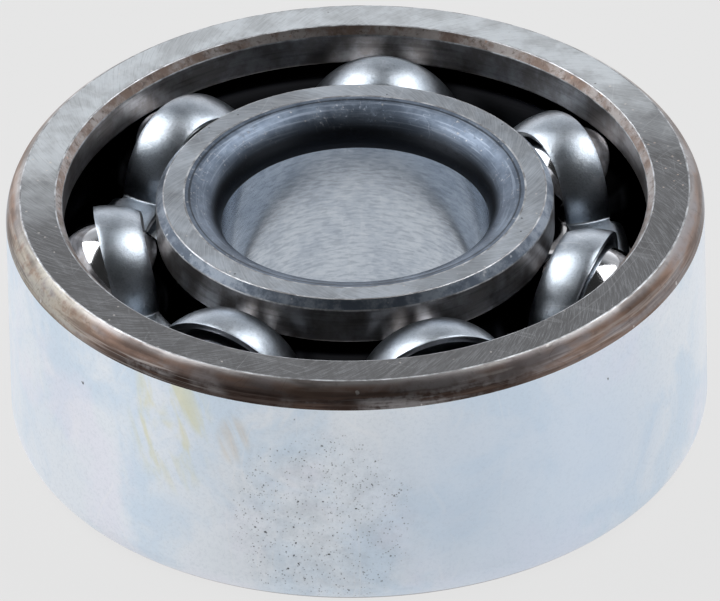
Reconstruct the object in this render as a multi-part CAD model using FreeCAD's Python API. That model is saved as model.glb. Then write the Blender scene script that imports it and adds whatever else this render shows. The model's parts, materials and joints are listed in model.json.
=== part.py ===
import FreeCAD, Part
import math
import os

# Single-row, open, deep-groove ball bearing in wide rings.
#
# Frame: millimetres. The origin is the centre of the bearing, on its axis and midway between the
# two side faces. +Z is the bearing axis, towards the side face that the ball row lies nearest to.
# +X and +Y lie in the plane of the rings.

# ---- Driving dimensions -------------------------------------------------------------------------

bore_diameter = 10.0
outer_diameter = 26.0
ring_width = 9.75

ball_count = 7
ball_diameter = 5.0
pitch_diameter = 18.5           # circle through the ball centres
row_depth = 3.45                # from the upper side face down to the ball centres
first_ball_angle = 31.3         # degrees from +X about +Z

groove_conformity = 0.52        # groove radius over ball diameter
race_clearance = 0.015          # radial gap between a ball and each raceway

outer_face_radial = 0.55        # rounded outer corner of the outer ring, measured along the face
outer_face_axial = 1.0          # the same corner, measured down the wall
outer_land_radius = 10.88
outer_land_chamfer_radial = 0.27
outer_land_chamfer_axial = 0.31

inner_land_radius = 7.41
inner_land_chamfer_radial = 0.28
inner_land_chamfer_axial = 0.34
bore_corner_radial = 1.36       # rounded bore corner, measured along the face
bore_corner_axial = 1.46        # the same corner, measured down the bore

cage_inner_radius = 8.1
cage_outer_radius = 9.7
sheet_thickness = 0.25
pocket_clearance = 0.06         # gap between a ball and its pocket
pocket_bend_radius = 0.35       # inside radius where a pocket turns into the flat web
brim_width = 0.2                # flat rim drawn round each pocket, which merges into the webs
seam_gap = 0.01                 # between the flat webs of the two cage halves

tab_half_width = 1.0
tab_clearance = 0.02            # between a clinch tab and the edge that it wraps
tab_tip_length = 0.55           # how far the tip reaches in under the lower half

# ---- Derived sizes ------------------------------------------------------------------------------

outer_radius = outer_diameter / 2.0
bore_radius = bore_diameter / 2.0
ball_radius = ball_diameter / 2.0
pitch_radius = pitch_diameter / 2.0
groove_radius = groove_conformity * ball_diameter

face_z = ring_width / 2.0
row_z = face_z - row_depth
full_turn = 360.0
quarter_turn = math.radians(full_turn / 4.0)
ball_step = full_turn / ball_count

outer_race_radius = pitch_radius + ball_radius + race_clearance
inner_race_radius = pitch_radius - ball_radius - race_clearance

pocket_inner_radius = ball_radius + pocket_clearance
pocket_outer_radius = pocket_inner_radius + sheet_thickness

UP = FreeCAD.Vector(0, 0, 1)


# ---- Drawing helpers ----------------------------------------------------------------------------

def on_profile(radius, z):
    """A point of a turned profile, which is drawn in the XZ plane."""
    return FreeCAD.Vector(radius, 0, z)


def line(start, end):
    return Part.LineSegment(on_profile(*start), on_profile(*end)).toShape()


def arc(start, middle, end):
    return Part.Arc(on_profile(*start), on_profile(*middle), on_profile(*end)).toShape()


def polyline(points):
    """Straight edges through the points, in order."""
    return [line(start, end) for start, end in zip(points, points[1:])]


def turned(edges, degrees=full_turn):
    """The solid swept by a closed profile about the bearing axis."""
    face = Part.Face(Part.Wire(Part.__sortEdges__(edges)))
    return face.revolve(FreeCAD.Vector(0, 0, 0), UP, degrees)


def corner_arc(face_radius, wall_radius, side, axial):
    """A rounded ring corner. It leaves the wall as a tangent and meets the side face at an angle.

    side is +1 for the upper face and -1 for the lower one.
    """
    radial = abs(wall_radius - face_radius)
    radius = (radial ** 2 + axial ** 2) / (2.0 * radial)
    towards_centre = math.copysign(1.0, face_radius - wall_radius)
    sweep = math.asin(axial / radius)
    middle_radial = radius * (1.0 - math.cos(sweep / 2.0))
    middle_axial = radius * math.sin(sweep / 2.0)
    wall_z = side * (face_z - axial)
    start = (face_radius, side * face_z)
    middle = (wall_radius + towards_centre * middle_radial, wall_z + side * middle_axial)
    end = (wall_radius, wall_z)
    return arc(start, middle, end)


def groove_half_width(land_radius, race_radius):
    """Half the axial width of a raceway groove where it breaks through its land."""
    depth = abs(race_radius - land_radius)
    return math.sqrt(groove_radius ** 2 - (groove_radius - depth) ** 2)


def ball_angle(index):
    return first_ball_angle + index * ball_step


def ball_centre(index):
    angle = math.radians(ball_angle(index))
    return FreeCAD.Vector(pitch_radius * math.cos(angle), pitch_radius * math.sin(angle), row_z)


# ---- Rings --------------------------------------------------------------------------------------

def outer_ring():
    """The outer ring: ground wall, rounded outer corners, two lands and the raceway between them."""
    face_outer = outer_radius - outer_face_radial
    face_inner = outer_land_radius + outer_land_chamfer_radial
    land_end_z = face_z - outer_land_chamfer_axial
    wall_end_z = face_z - outer_face_axial
    half_groove = groove_half_width(outer_land_radius, outer_race_radius)
    groove_top = (outer_land_radius, row_z + half_groove)
    groove_bottom = (outer_land_radius, row_z - half_groove)
    edges = polyline([
        (face_outer, face_z),
        (face_inner, face_z),
        (outer_land_radius, land_end_z),
        groove_top,
    ])
    edges += [arc(groove_top, (outer_race_radius, row_z), groove_bottom)]
    edges += polyline([
        groove_bottom,
        (outer_land_radius, -land_end_z),
        (face_inner, -face_z),
        (face_outer, -face_z),
    ])
    edges += [corner_arc(face_outer, outer_radius, -1, outer_face_axial)]
    edges += [line((outer_radius, -wall_end_z), (outer_radius, wall_end_z))]
    edges += [corner_arc(face_outer, outer_radius, +1, outer_face_axial)]
    return turned(edges)


def inner_ring():
    """The inner ring: bore with large rounded corners, two lands and the raceway between them."""
    face_inner = bore_radius + bore_corner_radial
    face_outer = inner_land_radius - inner_land_chamfer_radial
    land_end_z = face_z - inner_land_chamfer_axial
    bore_end_z = face_z - bore_corner_axial
    half_groove = groove_half_width(inner_land_radius, inner_race_radius)
    groove_top = (inner_land_radius, row_z + half_groove)
    groove_bottom = (inner_land_radius, row_z - half_groove)
    edges = polyline([
        (face_inner, face_z),
        (face_outer, face_z),
        (inner_land_radius, land_end_z),
        groove_top,
    ])
    edges += [arc(groove_top, (inner_race_radius, row_z), groove_bottom)]
    edges += polyline([
        groove_bottom,
        (inner_land_radius, -land_end_z),
        (face_outer, -face_z),
        (face_inner, -face_z),
    ])
    edges += [corner_arc(face_inner, bore_radius, -1, bore_corner_axial)]
    edges += [line((bore_radius, -bore_end_z), (bore_radius, bore_end_z))]
    edges += [corner_arc(face_inner, bore_radius, +1, bore_corner_axial)]
    return turned(edges)


# ---- Balls --------------------------------------------------------------------------------------

def ball(index):
    return Part.makeSphere(ball_radius, ball_centre(index))


# ---- Cage ---------------------------------------------------------------------------------------

def cage_band(bottom_z, height):
    """A plain ring of the cage's radial width."""
    foot = FreeCAD.Vector(0, 0, bottom_z)
    outside = Part.makeCylinder(cage_outer_radius, height, foot, UP)
    inside = Part.makeCylinder(cage_inner_radius, height, foot, UP)
    return outside.cut(inside)


def pocket_hat():
    """One pressed pocket, turned about the vertical axis of its ball: a dome, a bend and a flat brim.

    The dome's two skins are centred on the ball and the bend's two skins share one centre, so the
    sheet keeps its thickness all the way. The hat is drawn with its ball centre at the origin.
    """
    seat = seam_gap / 2.0
    bend_z = seat + sheet_thickness + pocket_bend_radius
    reach = pocket_outer_radius + pocket_bend_radius
    bend_x = math.sqrt(reach ** 2 - bend_z ** 2)
    dome_angle = math.asin(bend_z / reach)

    def on_dome(radius, angle):
        return (radius * math.cos(angle), radius * math.sin(angle))

    def on_bend(radius, angle):
        return (bend_x - radius * math.cos(angle), bend_z - radius * math.sin(angle))

    def skin(dome_radius, bend_radius):
        crown = on_dome(dome_radius, quarter_turn)
        shoulder = on_dome(dome_radius, (dome_angle + quarter_turn) / 2.0)
        foot = on_dome(dome_radius, dome_angle)
        bend_middle = on_bend(bend_radius, (dome_angle + quarter_turn) / 2.0)
        bend_end = on_bend(bend_radius, quarter_turn)
        return crown, bend_end, [arc(crown, shoulder, foot), arc(foot, bend_middle, bend_end)]

    outer_crown, outer_end, edges = skin(pocket_outer_radius, pocket_bend_radius)
    inner_bend_radius = pocket_bend_radius + sheet_thickness
    inner_crown, inner_end, inner_edges = skin(pocket_inner_radius, inner_bend_radius)
    edges += inner_edges
    brim = bend_x + brim_width
    edges += polyline([outer_end, (brim, outer_end[1]), (brim, seat), inner_end])
    edges += [line(inner_crown, outer_crown)]
    return turned(edges), brim


def formed_sheet():
    """The upper half of the cage without its tabs: seven domed pockets joined by flat webs."""
    hat, brim = pocket_hat()
    web_bottom = row_z + seam_gap / 2.0
    hats = []
    holes = []
    for index in range(ball_count):
        centre = ball_centre(index)
        placed = hat.copy()
        placed.rotate(FreeCAD.Vector(0, 0, 0), UP, ball_angle(index))
        placed.translate(centre)
        hats.append(placed.common(cage_band(web_bottom, pocket_outer_radius)))
        foot = FreeCAD.Vector(centre.x, centre.y, web_bottom)
        holes.append(Part.makeCylinder(brim - brim_width / 2.0, sheet_thickness, foot, UP))
    web = cage_band(web_bottom, sheet_thickness).cut(holes)
    return web.multiFuse(hats).removeSplitter().Solids[0]


def clinch_tab(angle):
    """A tab of the upper half. It bends down over the edge of a web and in under the lower half."""
    top = row_z + seam_gap / 2.0 + sheet_thickness
    seat = row_z + seam_gap / 2.0
    under = row_z - seam_gap / 2.0 - sheet_thickness - tab_clearance
    bottom = under - sheet_thickness
    root = cage_outer_radius - sheet_thickness
    inside = cage_outer_radius + tab_clearance
    outside = inside + sheet_thickness
    tip = inside - tab_tip_length
    bend = sheet_thickness * math.sin(quarter_turn / 2.0)
    edges = polyline([
        (inside, top),
        (root, top),
        (root, seat),
        (inside, seat),
        (inside, under),
        (tip, under),
        (tip, bottom),
        (inside, bottom),
    ])
    edges += [arc((inside, bottom), (inside + bend, under - bend), (outside, under))]
    edges += [line((outside, under), (outside, seat))]
    edges += [arc((outside, seat), (inside + bend, seat + bend), (inside, top))]
    half_angle = math.degrees(tab_half_width / outside)
    tab = turned(edges, 2.0 * half_angle)
    tab.rotate(FreeCAD.Vector(0, 0, 0), UP, angle - half_angle)
    return tab


def cage_upper():
    """The half that carries the clinch tabs, one in the middle of each web."""
    tabs = [clinch_tab(ball_angle(index) + ball_step / 2.0) for index in range(ball_count)]
    return formed_sheet().multiFuse(tabs).removeSplitter().Solids[0]


def cage_lower():
    """The plain half: the formed sheet mirrored in the plane of the ball centres."""
    return formed_sheet().mirror(FreeCAD.Vector(0, 0, row_z), UP)


# ---- Export -------------------------------------------------------------------------------------

def bearing_nodes():
    nodes = {"outer_ring": outer_ring(), "inner_ring": inner_ring()}
    for index in range(ball_count):
        nodes["ball_%d" % (index + 1)] = ball(index)
    nodes["cage_upper"] = cage_upper()
    nodes["cage_lower"] = cage_lower()
    return nodes


os.makedirs("parts", exist_ok=True)
for node_name, shape in bearing_nodes().items():
    shape.exportStep("parts/%s.step" % node_name)
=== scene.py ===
import json
import math

import bmesh
import bpy
import numpy as np
from mathutils import Matrix, Vector


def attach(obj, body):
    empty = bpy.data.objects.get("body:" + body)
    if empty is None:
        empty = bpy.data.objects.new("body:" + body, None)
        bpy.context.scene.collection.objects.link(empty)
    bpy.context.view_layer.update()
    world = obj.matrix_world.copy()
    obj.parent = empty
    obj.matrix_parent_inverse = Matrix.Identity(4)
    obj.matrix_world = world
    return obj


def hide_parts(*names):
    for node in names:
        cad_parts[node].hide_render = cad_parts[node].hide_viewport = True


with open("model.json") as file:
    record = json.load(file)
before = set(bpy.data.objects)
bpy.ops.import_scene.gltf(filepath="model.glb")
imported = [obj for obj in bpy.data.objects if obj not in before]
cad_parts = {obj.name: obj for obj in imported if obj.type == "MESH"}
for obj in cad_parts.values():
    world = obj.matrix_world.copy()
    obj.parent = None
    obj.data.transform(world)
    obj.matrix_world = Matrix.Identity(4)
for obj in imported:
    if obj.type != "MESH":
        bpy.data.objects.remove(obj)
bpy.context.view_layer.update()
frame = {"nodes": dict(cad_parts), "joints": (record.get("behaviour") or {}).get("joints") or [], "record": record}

MM = 0.001
HALF_TURN = math.pi
QUARTER_TURN = math.pi / 2.0
EIGHTH_TURN = math.pi / 4.0

# ---- Sizes -------------------------------------------------------
# Metres. The first group comes from the frame, and the second repeats the design's own sizes.

record = frame["record"]
mounts = {mount["name"]: mount for mount in record["mounts"]}
joints = {joint["name"]: joint for joint in frame["joints"]}

outer_radius = mounts["housing_seat"]["dims"]["r_mm"] * MM
bore_radius = mounts["shaft_bore"]["dims"]["r_mm"] * MM
face_z = mounts["outer_ring_face_upper"]["pos_m"][2]
ball_names = sorted(node for node in frame["nodes"] if node.startswith("ball_"))
ball_centres = {name: Vector(joints[name + "_spin"]["pos_m"]) for name in ball_names}
row_z = ball_centres["ball_1"].z
pitch_radius = ball_centres["ball_1"].xy.length
first_angle = math.atan2(ball_centres["ball_1"].y, ball_centres["ball_1"].x)
ball_step = 2.0 * HALF_TURN / len(ball_names)

ball_radius = 2.5 * MM
groove_radius = 2.6 * MM
race_clearance = 0.015 * MM
outer_corner = (0.55 * MM, 1.0 * MM)            # corners and chamfers: radial size, axial size
outer_land_radius = 10.88 * MM
outer_land_chamfer = (0.27 * MM, 0.31 * MM)
inner_land_radius = 7.41 * MM
inner_land_chamfer = (0.28 * MM, 0.34 * MM)
bore_mouth = (1.36 * MM, 1.46 * MM)
cage_inner_radius = 8.1 * MM
cage_outer_radius = 9.7 * MM
sheet_thickness = 0.25 * MM
pocket_clearance = 0.06 * MM
pocket_radius = ball_radius + pocket_clearance
pocket_bend_radius = 0.35 * MM
seam_gap = 0.01 * MM
web_top = seam_gap / 2.0 + sheet_thickness
tab_half_width = 1.0 * MM
tab_clearance = 0.02 * MM
tab_tip_length = 0.55 * MM

# How finely the meshes are divided, and how far sharp edges are rounded off.
edge_softness = 0.035 * MM
edge_hold = 1.5                  # close loops beside a rounded edge, as a multiple of its softness
edge_steps = (0.25, 0.5, 0.75)
edge_share = 0.25                # most of a short stretch that its rounding may take
ring_segments = 480
outline_step = 0.3 * MM
curve_step = 0.11 * MM
ball_cuts = 35
dome_steps = 26
bend_steps = 7
web_steps = 4
tab_steps = 5
tab_bend_steps = 4
sheet_rows = 9
sheared_edge_segments = 2
sheared_edge_angle = math.radians(50.0)

# The camera stands where the object's outline and ellipses say it stood.
view_elevation = math.radians(34.27)
view_roll = math.radians(1.36)
view_distance = 80.0 * outer_radius
view_width = 26.77 * MM         # width of the picture at the object
aim_right = 0.10 * MM           # from the centre of the upper face to the picture's centre
aim_up = -4.07 * MM
sensor_width = 36.0
nearest_seen = 0.01
farthest_seen = 20.0

# Floor and lights. A glow is how bright a surface looks, with 1 as paper white.
floor_gap = 0.02 * MM
floor_reach = 4.0
floor_tone = 0.04
floor_roughness = 0.9
floor_glow = 0.75
far_floor_glow = 1.15
far_floor = (40.0, 110.0)       # millimetres from the axis, where one glow turns into the other
lamp_distance = 0.5
lamps = {                       # azimuth, elevation, width, height, glow
    "softbox_left": (152.0, 51.0, 0.36, 0.28, 4.5),
    "softbox_right": (29.0, 57.0, 0.29, 0.27, 4.4),
    "low_left": (195.0, 14.0, 0.3, 0.16, 2.4),
    "low_right": (-22.0, 12.0, 0.26, 0.14, 1.3),
}
room_dark = (0.03, 0.03, 0.03, 1.0)
room_sides = (0.22, 0.225, 0.235, 1.0)
room_behind = (0.55, 0.56, 0.58, 1.0)
room_low_behind = (1.4, 1.42, 1.46, 1.0)

# How marks are drawn. Noise is about a half on average, so a band about a half cuts it in two.
highlight_turn = 0.25           # turns from the marks to the way that highlights are drawn out
wheel_radius = 60.0             # millimetres from the axis to the centre of the grinding arcs
hairline_break = (0.48, 0.58)   # noise between which a hairline fades in
fleck_range = (0.62, 0.68)      # the same for flecks, lowered by fleck_cover as they cover more
fleck_cover = 0.3
fleck_core = 0.6                # share of a fleck's size that is solid
fleck_raggedness = 1.6
dark_line_inset = 0.2           # millimetres in from the flat face to the dark line in the bore's mouth

# Where the marks of use are, and the painted shade on the near side: azimuth in degrees, then height, half arc and
# half height in millimetres.
rim = outer_radius / MM
top = face_z / MM
oil_stain = (237.0, 2.2, 2.1, 3.6)
tan_mark = (248.8, 2.1, 0.8, 1.3)
blue_area = (300.0, -0.6, 8.5, 7.0)
pitted_area = (263.0, -1.1, 4.6, 5.4)
near_shade_area = (262.0, top, 11.0, 8.0)
yellowed_scale = (203.0, top - 0.3, 4.6, 2.4)
dulled_scale = (8.0, top, 7.5, 8.0)
litter_patch = (8.0, top, 2.4, 1.0)


# ---- Outlines of turned parts ------------------------------------

def straight(start, end, zone):
    """A straight stretch of an outline, from one (radius, z) to another."""
    start = np.array(start)
    run = np.array(end) - start
    length = np.linalg.norm(run)
    return {"at": lambda t: start + run * t, "length": length, "step": outline_step, "zone": zone}


def round_stretch(centre, radius, start, end, zone):
    """A circular stretch of an outline, by its centre and the angles of its two ends."""
    centre = np.array(centre)

    def at(t):
        angle = start + (end - start) * t
        return centre + radius * np.array([math.cos(angle), math.sin(angle)])

    return {"at": at, "length": abs(end - start) * radius, "step": curve_step, "zone": zone}


def corner_stretch(face_radius, wall_radius, side, axial, zone):
    """A rounded ring corner, tangent to the wall, drawn from the wall to the side face."""
    radial = abs(wall_radius - face_radius)
    radius = (radial ** 2 + axial ** 2) / (2.0 * radial)
    sweep = math.asin(axial / radius)
    outward = math.copysign(1.0, wall_radius - face_radius)
    centre = (wall_radius - outward * radius, side * (face_z - axial))
    start = 0.0 if outward > 0 else HALF_TURN
    end = start + side * outward * sweep
    return round_stretch(centre, radius, start, end, zone)


def groove_stretch(land_radius, outward):
    """A raceway groove, drawn downwards, and the half width of its mouth."""
    race_radius = pitch_radius + outward * (ball_radius + race_clearance)
    centre_radius = race_radius - outward * groove_radius
    half_mouth = math.sqrt(groove_radius ** 2 - (land_radius - centre_radius) ** 2)
    sweep = math.asin(half_mouth / groove_radius)
    start, end = (sweep, -sweep) if outward > 0 else (HALF_TURN - sweep, HALF_TURN + sweep)
    return round_stretch((centre_radius, row_z), groove_radius, start, end, "raceway"), half_mouth


def reverse(stretch):
    """The same stretch drawn from its other end."""
    forward = stretch["at"]
    return {**stretch, "at": lambda t: forward(1.0 - t)}


def softened(stretch):
    """How much of a stretch's end is given up to the rounding of its edge."""
    return min(edge_softness, stretch["length"] * edge_share)


def stretch_places(stretch):
    """Distances along a stretch at which its outline is sampled."""
    length = stretch["length"]
    trim = softened(stretch)
    hold = edge_hold * trim
    between = np.arange(1, max(2, round(length / stretch["step"])))
    between = between / (len(between) + 1.0) * length
    between = [place for place in between if hold < place < length - hold]
    return [trim, hold, *between, length - hold, length - trim]


def edge_zone(before, after, back):
    """The zone that a rounded edge between two stretches belongs to. back is the ring's fitted surface."""
    if back in (before, after):
        return back
    if "raceway" in (before, after):
        return "land"
    return "edge"


def outline_points(stretches, back):
    """Samples a closed outline. Each join is rounded by edge_softness, with close loops beside it."""
    points = []
    zones = []
    for index, stretch in enumerate(stretches):
        following = stretches[(index + 1) % len(stretches)]
        joined = edge_zone(stretch["zone"], following["zone"], back)
        for place in stretch_places(stretch):
            points.append(stretch["at"](place / stretch["length"]))
            zones.append(stretch["zone"])
        zones[-1] = joined
        start = points[-1]
        corner = stretch["at"](1.0)
        end = following["at"](softened(following) / following["length"])
        for t in edge_steps:
            points.append((1 - t) ** 2 * start + 2 * t * (1 - t) * corner + t ** 2 * end)
            zones.append(joined)
    return np.array(points), zones


# ---- Mesh pieces -------------------------------------------------

def on_ring(radius, angle, height):
    """A point by its distance from the axis, its angle about it and its height."""
    return (radius * math.cos(angle), radius * math.sin(angle), height)


def add_object(mesh, materials):
    """A smooth-shaded object that shows a mesh under the mesh's own name."""
    for material in materials:
        mesh.materials.append(material)
    mesh.polygons.foreach_set("use_smooth", [True] * len(mesh.polygons))
    piece = bpy.data.objects.new(mesh.name, mesh)
    bpy.context.scene.collection.objects.link(piece)
    return piece


def make_object(name, vertices, faces, materials, face_zones=None):
    """An object from lists of vertices and faces. face_zones says which material each face has."""
    mesh = bpy.data.meshes.new(name)
    mesh.from_pydata(vertices, [], faces)
    piece = add_object(mesh, materials)
    if face_zones:
        mesh.polygons.foreach_set("material_index", face_zones)
    mesh.update()
    return piece


def face_outwards(piece):
    """Turns every face of a closed mesh to face outwards."""
    work = bmesh.new()
    work.from_mesh(piece.data)
    bmesh.ops.recalc_face_normals(work, faces=work.faces)
    work.to_mesh(piece.data)
    work.free()


def turned_piece(name, stretches, back, zone_materials):
    """A ring turned from a closed outline, with a material for each zone of the outline."""
    outline, zones = outline_points(stretches, back)
    loop = len(outline)
    zone_names = list(zone_materials)
    vertices = []
    faces = []
    face_zones = []
    for turn in range(ring_segments):
        angle = 2.0 * HALF_TURN * turn / ring_segments
        vertices += [on_ring(radius, angle, z) for radius, z in outline.tolist()]
        here = turn * loop
        there = (turn + 1) % ring_segments * loop
        for place in range(loop):
            onward = (place + 1) % loop
            faces.append((here + place, there + place, there + onward, here + onward))
            face_zones.append(zone_names.index(zones[place]))
    piece = make_object(name, vertices, faces, list(zone_materials.values()), face_zones)
    face_outwards(piece)
    return piece


def settle(piece, body, slot, *nodes):
    """Ties a piece to its CAD body and hides the CAD nodes that it stands for. slot is not used."""
    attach(piece, body)
    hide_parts(*nodes)


# ---- Shader helpers ----------------------------------------------

class Nodes:
    """Short ways to add and join nodes in one tree."""

    def __init__(self, tree):
        self.tree = tree

    def feed(self, socket, value):
        """Links a socket to another one, or sets it to a value."""
        if isinstance(value, bpy.types.NodeSocket):
            self.tree.links.new(value, socket)
        else:
            socket.default_value = value

    def node(self, kind, settings=None, **inputs):
        """Adds a node. An input's name has _ where the socket's name has a space."""
        node = self.tree.nodes.new(kind)
        for name, value in (settings or {}).items():
            setattr(node, name, value)
        for name, value in inputs.items():
            self.feed(node.inputs[name.replace("_", " ")], value)
        return node

    def math(self, operation, *values):
        """One operation on two values. On more than two, the result so far is the first of the next two."""
        result = values[0]
        for value in values[1:] or (0.0,):
            node = self.node("ShaderNodeMath", {"operation": operation})
            self.feed(node.inputs[0], result)
            self.feed(node.inputs[1], value)
            result = node.outputs[0]
        return result

    def product(self, *values):
        """The values multiplied together. One value alone is left as it is."""
        return self.math("MULTIPLY", *values) if len(values) > 1 else values[0]

    def centred(self, value):
        """A value from 0 to 1, moved down to run from -0.5 to 0.5."""
        return self.math("SUBTRACT", value, 0.5)

    def vector(self, x, y, z):
        return self.node("ShaderNodeCombineXYZ", X=x, Y=y, Z=z).outputs[0]

    def moved(self, operation, vector, by):
        """A vector after one operation with another vector."""
        node = self.node("ShaderNodeVectorMath", {"operation": operation})
        self.feed(node.inputs[0], vector)
        self.feed(node.inputs[1], by)
        return node.outputs[0]

    def noise(self, vector, scale, detail=2.0, roughness=0.5, distortion=0.0):
        """A cloudy value from 0 to 1, mostly near a half."""
        node = self.node("ShaderNodeTexNoise", Vector=vector, Scale=scale, Detail=detail,
                         Roughness=roughness, Distortion=distortion)
        return node.outputs["Fac"]

    def spots(self, vector, scale):
        """Distance from the nearest of many scattered points, in units of their spacing."""
        return self.node("ShaderNodeTexVoronoi", Vector=vector, Scale=scale).outputs["Distance"]

    def band(self, value, low, high):
        """0 at low and 1 at high, smooth between. low may be the larger of the two."""
        node = self.node("ShaderNodeMapRange", {"interpolation_type": "SMOOTHSTEP"}, Value=value)
        flipped = low > high
        node.inputs["From Min"].default_value = min(low, high)
        node.inputs["From Max"].default_value = max(low, high)
        node.inputs["To Min"].default_value = 1.0 if flipped else 0.0
        node.inputs["To Max"].default_value = 0.0 if flipped else 1.0
        return node.outputs["Result"]

    def spread(self, value, low, high):
        """A value from 0 to 1, spread over low to high."""
        return self.node("ShaderNodeMapRange", Value=value, To_Min=low, To_Max=high).outputs["Result"]

    def mix(self, factor, first, second):
        """The first colour where factor is 0 and the second where it is 1."""
        node = self.node("ShaderNodeMix", {"data_type": "RGBA"}, Factor=factor)
        first_socket, second_socket = [socket for socket in node.inputs if socket.type == "RGBA"]
        self.feed(first_socket, first)
        self.feed(second_socket, second)
        return [socket for socket in node.outputs if socket.type == "RGBA"][0]

    def over(self, base, colour, *shares):
        """A colour laid over a base, as strongly as the shares multiplied together."""
        return self.mix(self.product(*shares), base, colour)


class Shader(Nodes):
    """One node material. Coordinates are millimetres in the part's own frame."""

    def __init__(self, name, **sockets):
        self.material = bpy.data.materials.new(name)
        self.material.use_nodes = True
        super().__init__(self.material.node_tree)
        self.bsdf = self.tree.nodes["Principled BSDF"]
        for socket, value in sockets.items():
            self.bsdf.inputs[socket.replace("_", " ")].default_value = value
        metres = self.node("ShaderNodeTexCoord").outputs["Object"]
        self.place = self.moved("DIVIDE", metres, (MM, MM, MM))
        self.x, self.y, self.z = self.node("ShaderNodeSeparateXYZ", Vector=self.place).outputs
        self.radius = self.reach(0.0, 0.0)
        self.turn = self.math("ARCTAN2", self.y, self.x)

    def reach(self, x, y):
        """Distance from a line parallel to the axis."""
        dx = self.math("SUBTRACT", self.x, x)
        dy = self.math("SUBTRACT", self.y, y)
        return self.math("SQRT", self.math("ADD", self.product(dx, dx), self.product(dy, dy)))

    def colour(self, value):
        self.feed(self.bsdf.inputs["Base Color"], value)

    def roughness(self, value, low, high):
        """Roughness from low to high, by a value from 0 to 1."""
        self.feed(self.bsdf.inputs["Roughness"], self.spread(value, low, high))

    def bump(self, height, depth):
        """height runs from 0 to 1 and depth is its size in millimetres. Bumps add up."""
        node = self.node("ShaderNodeBump", Height=height, Distance=depth * MM)
        normal = self.bsdf.inputs["Normal"]
        if normal.is_linked:
            self.tree.links.new(normal.links[0].from_socket, node.inputs["Normal"])
        self.tree.links.new(node.outputs["Normal"], normal)

    def dent(self, marks, depth):
        """Sinks marks that run from 0 to 1 into the surface."""
        self.bump(self.math("SUBTRACT", 1.0, marks), depth)

    def marked_round(self, amount):
        """Marks run round the axis, so highlights are drawn out across them."""
        tangent = self.node("ShaderNodeTangent", {"direction_type": "RADIAL", "axis": "Z"})
        self.feed(self.bsdf.inputs["Tangent"], tangent.outputs[0])
        self.bsdf.inputs["Anisotropic"].default_value = amount
        self.bsdf.inputs["Anisotropic Rotation"].default_value = highlight_turn

    def patches(self, per_mm, detail, roughness=0.5, distortion=0.0, shift=None):
        """Cloudy patches. per_mm is their number in a millimetre, and shift moves them in millimetres."""
        place = self.moved("ADD", self.place, shift) if shift else self.place
        return self.noise(place, per_mm, detail, roughness, distortion)

    def rounded(self, turn, around, level):
        """A seamless coordinate for marks that depend on the turn about the axis and on a level."""
        return self.vector(self.product(self.math("COSINE", turn), around),
                           self.product(self.math("SINE", turn), around), level)

    def round_marks(self, across, along):
        """Fine lines round the axis. across and along are their marks per millimetre."""
        level = self.product(self.math("ADD", self.z, self.radius), across)
        return self.noise(self.rounded(self.turn, self.product(self.radius, along), level), 1.0, 3.0, 0.6)

    def radial_marks(self, ring_radius, across, along, lean):
        """Short lines across a ring's face, leaning by lean radians for each millimetre outwards."""
        turn = self.math("ADD", self.turn, self.product(self.radius, lean))
        level = self.product(self.radius, along)
        return self.noise(self.rounded(turn, ring_radius * across, level), 1.0, 2.0, 0.6)

    def arc_marks(self, heading, across, along):
        """Grinding lines on a flat face: long arcs about a far centre in the given direction."""
        east, north = math.cos(math.radians(heading)), math.sin(math.radians(heading))
        level = self.product(self.reach(wheel_radius * east, wheel_radius * north), across)
        sideways = self.math("SUBTRACT", self.product(self.x, north), self.product(self.y, east))
        return self.noise(self.vector(level, self.product(sideways, along), 0.0), 1.0, 3.0, 0.65)

    def hairlines(self, angle, across, along, width):
        """Long fine scratches, nearly straight: 1 on a line and 0 between."""
        turned = self.node("ShaderNodeVectorRotate", {"rotation_type": "Z_AXIS"}, Vector=self.place,
                           Angle=math.radians(angle)).outputs[0]
        drawn_out = self.moved("MULTIPLY", turned, (along, across, along))
        height = self.centred(self.noise(drawn_out, 1.0, 1.0))
        line = self.band(self.math("ABSOLUTE", height), width, 0.0)
        broken = self.patches(0.5, 2.0, shift=(angle, angle, 0.0))
        return self.product(line, self.band(broken, *hairline_break))

    def flecks(self, per_mm, size, share):
        """Small ragged specks. size is in units of their spacing, and share is how much is covered."""
        ragged = self.product(self.centred(self.patches(9.0, 2.0)), fleck_raggedness * size)
        distance = self.math("ADD", self.spots(self.place, per_mm), ragged)
        where = self.patches(0.45, 3.0, 0.65, shift=(per_mm, 0.0, size))
        sparse, dense = [limit - fleck_cover * share for limit in fleck_range]
        return self.product(self.band(distance, size, fleck_core * size), self.band(where, sparse, dense))

    def near(self, mark, at_radius):
        """A soft oval where a mark is, on a surface at this radius: 1 at its middle and 0 outside."""
        azimuth, height, half_arc, half_height = mark
        middle = math.radians(azimuth)
        arc = self.reach(at_radius * math.cos(middle), at_radius * math.sin(middle))
        arc = self.math("DIVIDE", arc, half_arc)
        rise = self.math("DIVIDE", self.math("SUBTRACT", self.z, height), half_height)
        return self.band(self.math("ADD", self.product(arc, arc), self.product(rise, rise)), 1.0, 0.0)


# ---- Colours -----------------------------------------------------

def seen(red, green, blue):
    """A colour given as it looks on screen, 0 to 255."""
    def channel(value):
        value /= 255.0
        return value / 12.92 if value <= 0.04045 else ((value + 0.055) / 1.055) ** 2.4
    return (channel(red), channel(green), channel(blue), 1.0)


wall_blue = seen(219, 233, 247)
wall_white = seen(237, 243, 250)
wall_lilac = seen(240, 239, 251)
wall_grain = seen(170, 182, 196)
wall_rub = seen(252, 252, 254)
wall_deep_blue = seen(210, 227, 247)
# Painted shade along the wall's foot, where it meets the floor.
wall_foot_shade = seen(112, 100, 92)
wall_soil = seen(156, 166, 176)
wall_pit = seen(50, 52, 54)
oil_yellow = seen(226, 221, 168)
stain_tan = seen(214, 198, 174)

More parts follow.
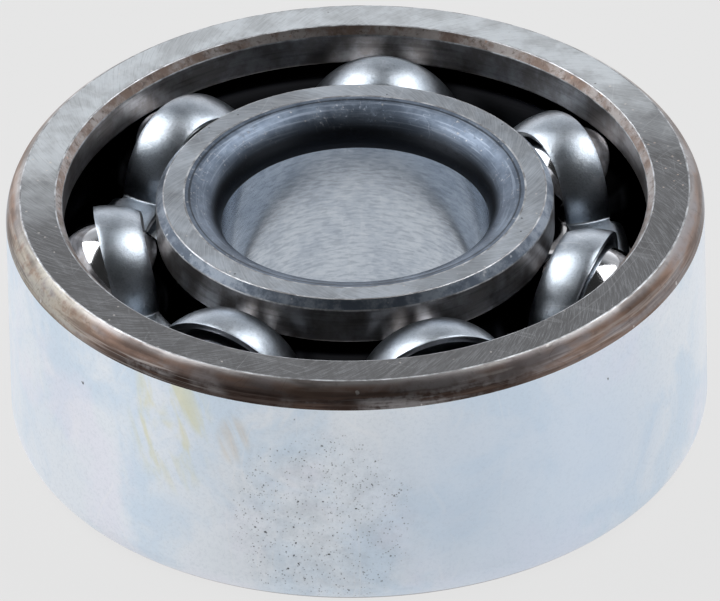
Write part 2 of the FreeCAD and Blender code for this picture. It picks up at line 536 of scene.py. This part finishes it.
scale_brown = seen(158, 132, 117)
scale_grey = seen(160, 154, 155)
# The next four are painted light on the outer corner: a painted highlight along its top, then painted shade lower
# down and on the near side.
scale_top_highlight = seen(170, 167, 167)
scale_low_shade = seen(112, 100, 96)
scale_near_shade = seen(112, 96, 90)
scale_deepest_shade = seen(52, 41, 37)
scale_bare = seen(192, 190, 192)
scale_yellowed = seen(208, 205, 192)
scale_fleck = seen(232, 230, 228)
scale_scratch = seen(70, 58, 52)
scale_streak = seen(92, 76, 68)
scale_dulled = seen(104, 100, 101)
scale_score = seen(88, 78, 74)
scale_ridge = seen(206, 200, 196)
scale_clean = seen(216, 224, 234)
scale_grain = seen(74, 62, 56)

face_cloud = seen(104, 103, 102)
face_bright_stroke = seen(226, 229, 233)
face_dark_stroke = seen(66, 67, 70)
face_hair = seen(236, 238, 240)
face_pale_fleck = seen(222, 217, 212)
face_dark_fleck = seen(50, 44, 40)
face_litter = seen(226, 208, 196)
# Painted shade on the near half and painted light on the far half of the outer ring's face.
outer_face_near_shade = seen(131, 131, 132)
outer_face_far_light = seen(208, 213, 217)
inner_face_grey = seen(168, 174, 181)
inner_face_pale = seen(182, 189, 197)

edge_dark = seen(132, 132, 134)
edge_bright = seen(206, 209, 213)
chamfer_tan = seen(140, 123, 114)
chamfer_bare = seen(180, 174, 172)
chamfer_rust = seen(196, 160, 140)
chamfer_grain = seen(110, 98, 92)
land_film = seen(134, 130, 129)
land_clean = seen(172, 172, 175)
land_mark = seen(66, 65, 66)
# Painted shade for the raceway: near-black.
raceway_deep_shade = seen(16, 16, 17)
raceway_mid_shade = seen(50, 51, 54)
raceway_mark_shade = seen(12, 12, 13)

bore_grey = seen(181, 190, 202)
bore_pale = seen(198, 206, 216)
bore_dark_mark = seen(134, 143, 154)
bore_bright_mark = seen(224, 230, 236)
bore_hair = seen(246, 248, 250)
skin_dark = seen(84, 94, 108)
skin_blue = seen(112, 123, 138)
skin_mark = seen(150, 161, 176)
skin_scuff = seen(172, 172, 174)
skin_fleck = seen(184, 182, 180)
skin_hair = seen(176, 185, 196)
skin_shadow = seen(46, 49, 54)
skin_rubbed = seen(118, 129, 144)
skin_worn = seen(168, 178, 191)
skin_chip = seen(226, 229, 234)
skin_groove = seen(80, 86, 94)

ball_grey = seen(206, 208, 212)
ball_bright = seen(222, 222, 224)
ball_hair = seen(160, 160, 164)
sheet_grey = seen(164, 173, 183)
sheet_pale = seen(186, 194, 203)
sheet_grain = seen(104, 110, 118)
sheet_hair = seen(240, 242, 244)


# ---- Materials ---------------------------------------------------

def wall_stains_and_foot_shade(s, base, cloud):
    """The outer wall's colour with old oil, a tan mark, a bluer area and painted shade along the foot."""
    leaning = s.vector(s.math("ADD", s.x, s.product(s.z, 0.35)), s.y, s.product(s.z, 0.15))
    streak = s.noise(leaning, 1.1, 3.0, 0.55, 0.6)
    base = s.over(base, oil_yellow, s.near(oil_stain, rim), s.band(streak, 0.42, 0.62), 0.6)
    base = s.over(base, stain_tan, s.near(tan_mark, rim), s.band(streak, 0.35, 0.55), 0.55)
    base = s.over(base, wall_deep_blue, s.near(blue_area, rim), s.spread(cloud, 0.1, 0.9))
    # Painted shade: a thin dark band along the wall's foot, where it meets the floor.
    foot_shade = s.band(s.math("ADD", s.z, top), 0.26, 0.1)
    return s.over(base, wall_foot_shade, foot_shade, 0.8)


def wall_pits(s, base):
    """The outer wall's colour with its soiled area, and the pits there and beyond."""
    soiled = s.near(pitted_area, rim)
    uneven = s.patches(1.2, 4.0, 0.7)
    ragged = s.product(s.centred(s.patches(7.0, 4.0, 0.7)), 0.9)
    large = s.band(s.math("ADD", s.spots(s.place, 3.0), ragged), 0.1, 0.02)
    small = s.band(s.math("ADD", s.spots(s.place, 8.0), ragged), 0.24, 0.06)
    large = s.product(large, s.band(s.product(soiled, uneven), 0.2, 0.34))
    small = s.product(small, s.band(s.product(soiled, uneven), 0.16, 0.3))
    specks = s.product(s.band(s.spots(s.place, 0.6), 0.055, 0.035), s.band(uneven, 0.5, 0.56))
    pits = s.math("MAXIMUM", large, s.product(small, 0.6), specks)
    base = s.over(base, wall_soil, soiled, s.band(uneven, 0.35, 0.7), 0.25)
    return s.over(base, wall_pit, pits, 0.9), pits


def ground_wall():
    """Outer wall: satin ground steel with soft clouds, old stains, pits and painted shade along the foot."""
    s = Shader("ground_wall", Metallic=1.0, Sheen_Weight=0.35, Sheen_Roughness=0.3)
    s.marked_round(0.65)
    cloud = s.patches(0.26, 6.0, 0.6, 0.4)
    lilac = s.patches(0.16, 4.0, 0.6, shift=(31.0, 7.0, 3.0))
    grain = s.patches(7.0, 4.0, 0.75)
    rubs = s.math("MAXIMUM", s.hairlines(20.0, 0.5, 0.12, 0.012), s.hairlines(70.0, 0.7, 0.1, 0.01))
    base = s.mix(s.band(cloud, 0.36, 0.6), wall_blue, wall_white)
    base = s.over(base, wall_lilac, s.band(lilac, 0.5, 0.66), 0.5)
    base = s.over(base, wall_grain, s.band(grain, 0.45, 0.7), 0.18)
    base = s.over(base, wall_rub, rubs, 0.2)
    base, pits = wall_pits(s, wall_stains_and_foot_shade(s, base, cloud))
    s.colour(base)
    s.roughness(s.patches(0.7, 4.0, 0.6), 0.34, 0.46)
    s.bump(s.round_marks(9.0, 0.4), 0.002)
    s.dent(pits, 0.02)
    return s.material


def oxide_corner():
    """Rounded outer corner: bronze-brown scale streaked round the ring, with a painted highlight along the top and
    painted shade low down, darkest on the near side.
    """
    s = Shader("oxide_corner", Metallic=1.0)
    streak = s.round_marks(5.0, 0.3)
    scores = s.round_marks(14.0, 0.2)
    fine = s.patches(3.4, 4.0, 0.6)
    broad = s.patches(0.2, 3.0, 0.55)
    # Where painted shade darkens the corner on the near side.
    near_shade = s.band(s.near(near_shade_area, rim), 0.08, 0.6)
    depth = s.math("ADD", s.math("SUBTRACT", top, s.z), s.product(s.centred(streak), 0.5))
    low = s.band(depth, 0.2, 0.62)
    bare = s.band(s.math("ADD", streak, s.product(fine, 0.5)), 0.62, 0.9)

    brown = s.mix(s.band(streak, 0.42, 0.6), scale_brown, scale_grey)
    # Painted highlight: lighter along the top of the corner.
    base = s.mix(s.band(depth, 0.03, 0.2), scale_top_highlight, brown)
    # Painted shade: darker on the lower part of the corner, darkest low on the near side.
    base = s.over(base, scale_low_shade, low, 0.5)
    base = s.over(base, scale_near_shade, s.band(depth, 0.0, 0.3), near_shade, 0.6)
    base = s.over(base, scale_deepest_shade, low, near_shade)
    base = s.over(base, scale_bare, s.band(broad, 0.46, 0.6), bare, 0.4)
    base = s.over(base, scale_yellowed, s.near(yellowed_scale, rim), s.band(fine, 0.25, 0.6), 0.6)
    base = s.over(base, scale_fleck, s.flecks(1.3, 0.12, 0.6), 0.6)
    base = s.over(base, scale_scratch, s.hairlines(-35.0, 2.0, 0.6, 0.012), 0.3)
    base = s.over(base, scale_streak, s.band(streak, 0.47, 0.34), 0.6)
    base = s.over(base, scale_dulled, s.near(dulled_scale, rim), 0.45)
    base = s.over(base, scale_score, s.band(scores, 0.52, 0.66), 0.5)
    base = s.over(base, scale_ridge, s.band(scores, 0.45, 0.32), 0.35)
    base = s.over(base, scale_clean, s.band(depth, 0.5, 0.8), s.band(s.y, -2.0, 2.0))
    s.colour(s.over(base, scale_grain, s.band(fine, 0.5, 0.75), 0.3))
    s.roughness(fine, 0.34, 0.5)
    s.bump(fine, 0.004)
    s.bump(scores, 0.012)
    return s.material


def grind_and_scuff(s, colour, ring_radius, lean, heading, strength):
    """Finish of a ring's side face: strokes across it, fainter arcs, scratches and specks."""
    arcs = s.arc_marks(heading, 9.0, 0.25)
    strokes = s.radial_marks(ring_radius, 14.0, 2.0, lean)
    marks = s.math("ADD", s.product(arcs, 0.2), s.product(strokes, 0.8))
    cloud = s.patches(0.7, 4.0, 0.6)
    hairs = s.math("MAXIMUM", s.hairlines(24.0, 0.8, 0.1, 0.014), s.hairlines(-58.0, 0.9, 0.12, 0.012),
                   s.hairlines(84.0, 0.7, 0.14, 0.012))
    colour = s.over(colour, face_cloud, s.band(cloud, 0.6, 0.36), 0.3)
    colour = s.over(colour, face_bright_stroke, s.band(marks, 0.48, 0.62), strength)
    colour = s.over(colour, face_dark_stroke, s.band(marks, 0.46, 0.34), strength)
    colour = s.over(colour, face_hair, hairs, 0.12)
    colour = s.over(colour, face_pale_fleck, s.flecks(2.1, 0.11, 0.5), 0.7)
    s.colour(s.over(colour, face_dark_fleck, s.flecks(1.7, 0.08, 0.35), 0.7))
    s.bump(marks, 0.002)
    s.dent(hairs, 0.002)


def outer_face():
    """Side face of the outer ring: rougher on the far half, with painted light brightening the far half and
    painted shade darkening the near half.
    """
    s = Shader("outer_face", Metallic=1.0)
    middle = (outer_radius + outer_land_radius) / 2.0 / MM
    across = s.math("SUBTRACT", s.y, s.product(s.x, 0.2))
    wavy = s.spread(s.patches(0.35, 4.0, 0.6), -3.0, 3.0)
    dulled = s.band(s.math("ADD", across, wavy), -1.0, 6.0)
    litter = s.product(s.near(litter_patch, middle), s.flecks(3.0, 0.15, 1.4))
    # Painted light and shade: brighter on the far half, darker on the near half.
    colour = s.mix(dulled, outer_face_near_shade, outer_face_far_light)
    colour = s.over(colour, face_litter, s.band(litter, 0.1, 0.3), 0.8)
    grind_and_scuff(s, colour, middle, 0.1, 200.0, 0.18)
    s.roughness(dulled, 0.27, 0.5)
    return s.material


def inner_face():
    """Side face of the inner ring, dulled all over."""
    s = Shader("inner_face", Metallic=1.0)
    middle = (inner_land_radius + bore_radius) / 2.0 / MM
    dulled = s.band(s.patches(0.3, 3.0, 0.6), 0.4, 0.6)
    colour = s.mix(dulled, inner_face_grey, inner_face_pale)
    grind_and_scuff(s, colour, middle, -0.2, 240.0, 0.2)
    s.roughness(dulled, 0.32, 0.4)
    return s.material


def worn_edge():
    """Edge rubbed bright in some places and still dark in others."""
    s = Shader("worn_edge", Metallic=1.0)
    patch = s.patches(1.6, 4.0, 0.65)
    s.colour(s.mix(s.band(patch, 0.36, 0.68), edge_dark, edge_bright))
    s.roughness(patch, 0.36, 0.5)
    return s.material


def rubbed_chamfer():
    """Chamfer inside the outer ring: tan scale with bare patches."""
    s = Shader("rubbed_chamfer", Metallic=1.0)
    base = s.mix(s.band(s.patches(0.7, 5.0, 0.7), 0.4, 0.6), chamfer_tan, chamfer_bare)
    base = s.over(base, chamfer_rust, s.flecks(1.8, 0.14, 0.6), 0.6)
    s.colour(s.over(base, chamfer_grain, s.band(s.patches(4.0, 4.0, 0.7), 0.5, 0.72)))
    s.roughness(s.patches(3.0, 3.0), 0.34, 0.5)
    s.bump(s.round_marks(10.0, 0.4), 0.006)
    return s.material


def turned_land():
    """Cylindrical land beside a groove: fine turning marks under a thin dark film."""
    s = Shader("turned_land", Metallic=1.0)
    s.marked_round(0.6)
    marks = s.round_marks(6.0, 0.35)
    base = s.mix(s.band(s.patches(0.8, 5.0, 0.7), 0.38, 0.66), land_film, land_clean)
    s.colour(s.over(base, land_mark, s.band(marks, 0.48, 0.64), 0.3))
    s.roughness(marks, 0.3, 0.4)
    s.bump(marks, 0.004)
    return s.material


def raceway():
    """Honed groove painted near-black as shade, a little less dark along the middle where the balls run."""
    s = Shader("raceway", Metallic=1.0, Specular_Tint=(0.1, 0.1, 0.1, 1.0))
    s.marked_round(0.4)
    marks = s.round_marks(12.0, 0.3)
    offset = s.math("ABSOLUTE", s.math("SUBTRACT", s.z, row_z / MM))
    # Painted shade: near-black, a little less dark along the middle of the groove.
    base = s.mix(s.band(offset, 0.9, 0.5), raceway_deep_shade, raceway_mid_shade)
    s.colour(s.over(base, raceway_mark_shade, s.spread(marks, 0.0, 0.25)))
    s.roughness(marks, 0.26, 0.34)
    s.bump(marks, 0.001)
    return s.material


def bore_wall():
    """Ground bore: bright, with fine short lines round it and faint slanted scratches."""
    s = Shader("bore_wall", Metallic=1.0)
    s.marked_round(0.3)
    marks = s.round_marks(9.0, 2.2)
    cloud = s.patches(0.7, 5.0, 0.65)
    hairs = s.math("MAXIMUM", s.hairlines(40.0, 1.2, 0.2, 0.02), s.hairlines(-30.0, 1.2, 0.2, 0.02))
    base = s.mix(s.band(cloud, 0.36, 0.64), bore_grey, bore_pale)
    base = s.over(base, bore_dark_mark, s.band(marks, 0.48, 0.64), 0.34)
    base = s.over(base, bore_bright_mark, s.band(marks, 0.48, 0.36), 0.24)
    s.colour(s.over(base, bore_hair, hairs, 0.08))
    s.roughness(cloud, 0.15, 0.2)
    s.bump(marks, 0.0015)
    return s.material


def bore_corner():
    """Rounded mouth of the bore: blue-grey hardened skin, scuffed, with a dark line near the face and painted
    shade deeper into the mouth.
    """
    s = Shader("bore_corner", Metallic=1.0)
    patch = s.patches(0.9, 5.0, 0.65)
    marks = s.round_marks(5.5, 0.4)
    scuffed = s.band(s.patches(0.6, 3.0, 0.6), 0.46, 0.6)
    scuffs = s.band(s.patches(6.0, 4.0, 0.75), 0.56, 0.7)
    line_radius = (bore_radius + bore_mouth[0]) / MM - dark_line_inset
    off_line = s.math("ABSOLUTE", s.math("SUBTRACT", s.radius, line_radius))
    off_line = s.math("ADD", off_line, s.product(s.centred(patch), 0.06))
    depth = s.math("SUBTRACT", top, s.math("ABSOLUTE", s.z))
    depth = s.math("ADD", depth, s.spread(patch, -0.12, 0.12))

    base = s.mix(s.band(patch, 0.34, 0.66), skin_dark, skin_blue)
    base = s.over(base, skin_mark, s.band(marks, 0.5, 0.66), 0.4)
    base = s.over(base, skin_scuff, scuffed, scuffs, 0.8)
    base = s.over(base, skin_fleck, s.flecks(2.6, 0.12, 0.6), 0.5)
    base = s.over(base, skin_hair, s.hairlines(50.0, 2.4, 0.5, 0.01), 0.3)
    base = s.over(base, skin_shadow, s.band(off_line, 0.05, 0.02), 0.75)
    # Painted shade: darker deeper into the bore's mouth.
    s.colour(s.over(base, skin_shadow, s.band(depth, 0.3, 0.8)))
    s.roughness(patch, 0.36, 0.48)
    s.bump(marks, 0.006)
    s.bump(scuffs, 0.004)
    return s.material


def skin_chamfer():
    """Chamfer outside the inner ring: blue-grey skin, chipped bright."""
    s = Shader("skin_chamfer", Metallic=1.0)
    patch = s.patches(1.4, 5.0, 0.7)
    base = s.mix(s.band(patch, 0.4, 0.6), skin_rubbed, skin_worn)
    base = s.over(base, skin_chip, s.flecks(2.4, 0.16, 0.7), 0.8)
    s.colour(s.over(base, skin_groove, s.round_marks(7.0, 0.5), 0.3))
    s.roughness(patch, 0.34, 0.46)
    s.bump(patch, 0.01)
    return s.material


def polished_ball():
    """Lapped ball: mirror finish with a faint haze and hairlines."""
    s = Shader("polished_ball", Metallic=1.0)
    haze = s.patches(1.2, 3.0, 0.6)
    hairs = s.math("MAXIMUM", s.hairlines(15.0, 1.4, 0.2, 0.01), s.hairlines(-70.0, 1.2, 0.2, 0.01))
    base = s.mix(s.band(haze, 0.4, 0.7), ball_grey, ball_bright)
    s.colour(s.over(base, ball_hair, hairs, 0.3))
    s.roughness(haze, 0.07, 0.13)
    return s.material


def pressed_sheet():
    """Cage: tumbled sheet steel with a satin grain and a few rubbed lines."""
    s = Shader("pressed_sheet", Metallic=1.0)
    grain = s.patches(13.0, 4.0, 0.7)
    cloud = s.patches(1.0, 4.0, 0.6)
    base = s.mix(s.band(cloud, 0.36, 0.66), sheet_grey, sheet_pale)
    base = s.over(base, sheet_grain, s.band(grain, 0.46, 0.7), 0.35)
    s.colour(s.over(base, sheet_hair, s.hairlines(30.0, 1.4, 0.3, 0.016), 0.25))
    s.roughness(cloud, 0.26, 0.32)
    s.bump(grain, 0.009)
    return s.material


def glowing_sheet():
    """The floor's pale glowing sheet. From underneath it lets the view through."""
    s = Shader("sheet_floor", Roughness=floor_roughness, Specular_IOR_Level=0.0)
    s.colour((floor_tone, floor_tone, floor_tone, 1.0))
    s.bsdf.inputs["Emission Color"].default_value = (1.0, 1.0, 1.0, 1.0)
    glow = s.spread(s.band(s.radius, *far_floor), floor_glow, far_floor_glow)
    s.feed(s.bsdf.inputs["Emission Strength"], glow)
    clear = s.node("ShaderNodeBsdfTransparent").outputs[0]
    both = s.node("ShaderNodeMixShader", Fac=s.node("ShaderNodeNewGeometry").outputs["Backfacing"])
    s.feed(both.inputs[1], s.bsdf.outputs[0])
    s.feed(both.inputs[2], clear)
    s.feed(s.tree.nodes["Material Output"].inputs["Surface"], both.outputs[0])
    return s.material


# ---- Rings -------------------------------------------------------

def ring_outline(land_radius, chamfer, back_radius, corner, outward, back_zones):
    """A ring's closed section, down the side that has the groove and up its back.

    The back is the cylindrical surface away from the groove, outward is +1 where it lies further
    out than the groove, and back_zones are its lower corner, the back itself and its upper corner.
    """
    face_far = back_radius - outward * corner[0]
    face_near = land_radius + outward * chamfer[0]
    back_end = face_z - corner[1]
    land_end = face_z - chamfer[1]
    groove, half_mouth = groove_stretch(land_radius, outward)
    mouth_top, mouth_bottom = row_z + half_mouth, row_z - half_mouth
    lower_corner, back, upper_corner = back_zones
    return [
        straight((face_far, face_z), (face_near, face_z), "face"),
        straight((face_near, face_z), (land_radius, land_end), "chamfer"),
        straight((land_radius, land_end), (land_radius, mouth_top), "land"),
        groove,
        straight((land_radius, mouth_bottom), (land_radius, -land_end), "land"),
        straight((land_radius, -land_end), (face_near, -face_z), "chamfer"),
        straight((face_near, -face_z), (face_far, -face_z), "face"),
        reverse(corner_stretch(face_far, back_radius, -1, corner[1], lower_corner)),
        straight((back_radius, -back_end), (back_radius, back_end), back),
        corner_stretch(face_far, back_radius, +1, corner[1], upper_corner),
    ]


def outer_ring(materials):
    """The outer ring, whose back is the wall that fits the housing."""
    stretches = ring_outline(outer_land_radius, outer_land_chamfer, outer_radius, outer_corner, +1,
                             ("wall", "wall", "corner"))
    zones = {"wall": materials["ground_wall"], "corner": materials["oxide_corner"],
             "face": materials["outer_face"], "edge": materials["worn_edge"],
             "chamfer": materials["rubbed_chamfer"], "land": materials["turned_land"],
             "raceway": materials["raceway"]}
    piece = turned_piece("outer_ring_ground", stretches, "wall", zones)
    settle(piece, "outer_ring", "outer_ring_steel", "outer_ring")


def inner_ring(materials):
    """The inner ring, whose back is the bore that fits the shaft."""
    stretches = ring_outline(inner_land_radius, inner_land_chamfer, bore_radius, bore_mouth, -1,
                             ("corner", "bore", "corner"))
    zones = {"bore": materials["bore_wall"], "corner": materials["bore_corner"],
             "face": materials["inner_face"], "edge": materials["worn_edge"],
             "chamfer": materials["skin_chamfer"], "land": materials["turned_land"],
             "raceway": materials["raceway"]}
    piece = turned_piece("inner_ring_ground", stretches, "bore", zones)
    settle(piece, "inner_ring", "inner_ring_steel", "inner_ring")


# ---- Balls -------------------------------------------------------

def ball(name, material):
    """A lapped ball, drawn as a finely divided cube pushed out onto its sphere."""
    work = bmesh.new()
    bmesh.ops.create_cube(work, size=2.0)
    bmesh.ops.subdivide_edges(work, edges=work.edges, cuts=ball_cuts, use_grid_fill=True)
    for vertex in work.verts:
        spread = Vector([math.tan(value * EIGHTH_TURN) for value in vertex.co])
        vertex.co = spread.normalized() * ball_radius + ball_centres[name]
    mesh = bpy.data.meshes.new(name + "_lapped")
    work.to_mesh(mesh)
    work.free()
    settle(add_object(mesh, [material]), name, "ball_steel", name)


# ---- Cage --------------------------------------------------------

class Pocket:
    """The outer skin of one pressed pocket, as a shape turned about its ball's vertical axis."""

    def __init__(self):
        self.dome = pocket_radius + sheet_thickness
        self.bend_z = web_top + pocket_bend_radius
        reach = self.dome + pocket_bend_radius
        self.bend_x = math.sqrt(reach ** 2 - self.bend_z ** 2)
        self.join_angle = math.asin(self.bend_z / reach)
        self.join_z = self.dome * math.sin(self.join_angle)

    def columns(self, radius):
        """(distance from the ball's axis, height) from crown to web, where the sheet crosses radius."""
        offset = radius - pitch_radius
        slice_radius = math.sqrt(self.dome ** 2 - offset ** 2)
        last = math.asin(self.join_z / slice_radius)
        found = []
        for step in range(dome_steps):
            angle = QUARTER_TURN + (last - QUARTER_TURN) * step / dome_steps
            across = slice_radius * math.cos(angle)
            found.append((math.hypot(across, offset), slice_radius * math.sin(angle)))
        for step in range(bend_steps + 1):
            angle = self.join_angle + (QUARTER_TURN - self.join_angle) * step / bend_steps
            found.append((self.bend_x - pocket_bend_radius * math.cos(angle),
                          self.bend_z - pocket_bend_radius * math.sin(angle)))
        return found


def turn_from_ball(radius, distance):
    """The angle about the bearing axis at which a circle of this radius is this far from a ball's axis."""
    cosine = (radius ** 2 + pitch_radius ** 2 - distance ** 2) / (2.0 * radius * pitch_radius)
    return math.acos(max(-1.0, min(1.0, cosine)))


def half_sector(radius):
    """(angle, height) from a ball's crown to the middle of the next web, at one radius."""
    found = [(turn_from_ball(radius, distance), height) for distance, height in Pocket().columns(radius)]
    web_start = found[-1][0]
    web_middle = ball_step / 2.0
    tab_side = web_middle - tab_half_width / cage_outer_radius
    for step in range(1, web_steps + 1):
        found.append((web_start + (tab_side - web_start) * step / web_steps, web_top))
    for step in range(1, tab_steps + 1):
        found.append((tab_side + (web_middle - tab_side) * step / tab_steps, web_top))
    return found


def sheet_columns():
    """The sheet's columns once round: a ball's angle, the side of the ball, and the place in half_sector."""
    last = len(half_sector(pitch_radius)) - 1
    columns = []
    for index in range(len(ball_names)):
        centre = first_angle + index * ball_step
        columns += [(centre, -1, place) for place in range(last, 0, -1)]
        columns += [(centre, +1, place) for place in range(last)]
    return columns


def clinch_path():
    """(radius, height) of the outside of a clinch tab, from the web's edge to the tip."""
    seat = seam_gap / 2.0
    under = -seat - sheet_thickness - tab_clearance
    inside = cage_outer_radius + tab_clearance
    turns = [QUARTER_TURN * step / tab_bend_steps for step in range(tab_bend_steps + 1)]
    path = []
    for turn in turns:
        path.append((inside + sheet_thickness * math.sin(turn), seat + sheet_thickness * math.cos(turn)))
    path.append((inside + sheet_thickness, (seat + under) / 2.0))
    for turn in turns:
        path.append((inside + sheet_thickness * math.cos(turn), under - sheet_thickness * math.sin(turn)))
    path.append((inside - tab_tip_length / 2.0, under - sheet_thickness))
    path.append((inside - tab_tip_length, under - sheet_thickness))
    return path


def add_tabs(vertices, faces, columns, edge_start, side):
    """Adds the tabs that fold over the other half, each a strip of the sheet's outer edge drawn on."""
    half = half_sector(cage_outer_radius)
    first_place = len(half) - 1 - tab_steps
    strips = {}
    for column, (centre, sign, place) in enumerate(columns):
        if place >= first_place:
            angle = centre + sign * half[place][0]
            strips[column] = [edge_start + column]
            for radius, height in clinch_path():
                strips[column].append(len(vertices))
                vertices.append(on_ring(radius, angle, row_z + side * height))
    for column, strip in strips.items():
        neighbour = strips.get((column + 1) % len(columns))
        if neighbour:
            for step in range(len(strip) - 1):
                faces.append((strip[step], neighbour[step], neighbour[step + 1], strip[step + 1]))


def sheet_surface(side, with_tabs):
    """The outer skin of one cage half as vertices and faces. side is +1 for the upper half."""
    columns = sheet_columns()
    count = len(columns)
    vertices = []
    faces = []
    for row in range(sheet_rows + 1):
        radius = cage_inner_radius + (cage_outer_radius - cage_inner_radius) * row / sheet_rows
        half = half_sector(radius)
        for centre, sign, place in columns:
            turn, height = half[place]
            vertices.append(on_ring(radius, centre + sign * turn, row_z + side * height))
    for row in range(sheet_rows):
        for column in range(count):
            onward = (column + 1) % count
            faces.append((row * count + column, row * count + onward,
                          (row + 1) * count + onward, (row + 1) * count + column))
    if with_tabs:
        add_tabs(vertices, faces, columns, sheet_rows * count, side)
    if side < 0:
        faces = [face[::-1] for face in faces]
    return vertices, faces


def apply_modifiers(piece):
    """Gives a piece the mesh that its modifiers make, and removes them."""
    finished = bpy.data.meshes.new_from_object(piece.evaluated_get(bpy.context.evaluated_depsgraph_get()))
    piece.modifiers.clear()
    piece.data = finished


def cage_half(name, side, with_tabs, material, node):
    """One pressed half of the cage: its outer skin made thick, with its sheared edges eased."""
    vertices, faces = sheet_surface(side, with_tabs)
    piece = make_object(name, vertices, faces, [material])
    thick = piece.modifiers.new("thickness", "SOLIDIFY")
    thick.thickness = sheet_thickness
    thick.offset = -1.0
    soft = piece.modifiers.new("sheared_edge", "BEVEL")
    soft.width = edge_softness
    soft.segments = sheared_edge_segments
    soft.limit_method = "ANGLE"
    soft.angle_limit = sheared_edge_angle
    apply_modifiers(piece)
    settle(piece, "cage", "cage_sheet", node)


# ---- Stage -------------------------------------------------------

def floor():
    """A wide flat sheet just under the object."""
    level = -face_z - floor_gap
    corners = [(-1.0, -1.0), (1.0, -1.0), (1.0, 1.0), (-1.0, 1.0)]
    vertices = [(floor_reach * x, floor_reach * y, level) for x, y in corners]
    piece = make_object("floor", vertices, [(0, 1, 2, 3)], [glowing_sheet()])


def softbox(name, azimuth, elevation, width, height, glow):
    """A rectangular light that faces the object. glow is how bright its surface looks."""
    light = bpy.data.lights.new(name, "AREA")
    light.shape = "RECTANGLE"
    light.size = width
    light.size_y = height
    light.energy = glow * math.pi * width * height
    lamp = bpy.data.objects.new(name, light)
    lift = math.radians(elevation)
    towards = Vector(on_ring(math.cos(lift), math.radians(azimuth), math.sin(lift)))
    lamp.location = towards * lamp_distance
    lamp.rotation_mode = "QUATERNION"
    lamp.rotation_quaternion = towards.to_track_quat("Z", "Y")
    lamp.visible_camera = False
    bpy.context.scene.collection.objects.link(lamp)


def room():
    """Dark in front and overhead, paler at the sides and behind, and brightest low down behind."""
    world = bpy.data.worlds.new("room")
    world.use_nodes = True
    n = Nodes(world.node_tree)
    direction = n.node("ShaderNodeTexCoord").outputs["Generated"]
    x, y, z = n.node("ShaderNodeSeparateXYZ", Vector=direction).outputs
    beside = n.band(n.math("ABSOLUTE", x), 0.35, 0.85)
    behind = n.band(y, 0.1, 0.75)
    glow = n.over(room_dark, room_sides, beside, n.band(z, 0.9, 0.5))
    glow = n.over(glow, room_behind, behind, n.band(z, 0.85, 0.6))
    glow = n.over(glow, room_low_behind, behind, n.band(z, 0.5, 0.2))
    n.feed(n.tree.nodes["Background"].inputs["Color"], glow)
    bpy.context.scene.world = world
    bpy.context.scene.view_settings.view_transform = "Standard"


def camera():
    """A camera so far away that lines stay nearly parallel, aimed and rolled by the values at the top."""
    back = Vector((0.0, -math.cos(view_elevation), math.sin(view_elevation)))
    right = Vector((1.0, 0.0, 0.0))
    up = back.cross(right)
    target = Vector((0.0, 0.0, face_z)) + right * aim_right + up * aim_up
    data = bpy.data.cameras.new("camera")
    data.sensor_width = sensor_width
    data.lens = sensor_width * view_distance / view_width
    data.clip_start = nearest_seen
    data.clip_end = farthest_seen
    eye = bpy.data.objects.new("camera", data)
    axes = Matrix((right, up, back)).transposed() @ Matrix.Rotation(-view_roll, 3, "Z")
    eye.matrix_world = Matrix.Translation(target + back * view_distance) @ axes.to_4x4()
    bpy.context.scene.collection.objects.link(eye)
    bpy.context.scene.camera = eye


# ---- Build -------------------------------------------------------

def build():
    """Every piece, then the floor, the lights and the camera."""
    makers = (ground_wall, oxide_corner, outer_face, inner_face, worn_edge, rubbed_chamfer, turned_land,
              raceway, bore_wall, bore_corner, skin_chamfer)
    materials = {maker.__name__: maker() for maker in makers}
    outer_ring(materials)
    inner_ring(materials)
    ball_finish = polished_ball()
    for name in ball_names:
        ball(name, ball_finish)
    sheet = pressed_sheet()
    cage_half("cage_upper_pressed", +1, True, sheet, "cage_upper")
    cage_half("cage_lower_pressed", -1, False, sheet, "cage_lower")
    floor()
    for name, lamp in lamps.items():
        softbox(name, *lamp)
    room()
    camera()


build()
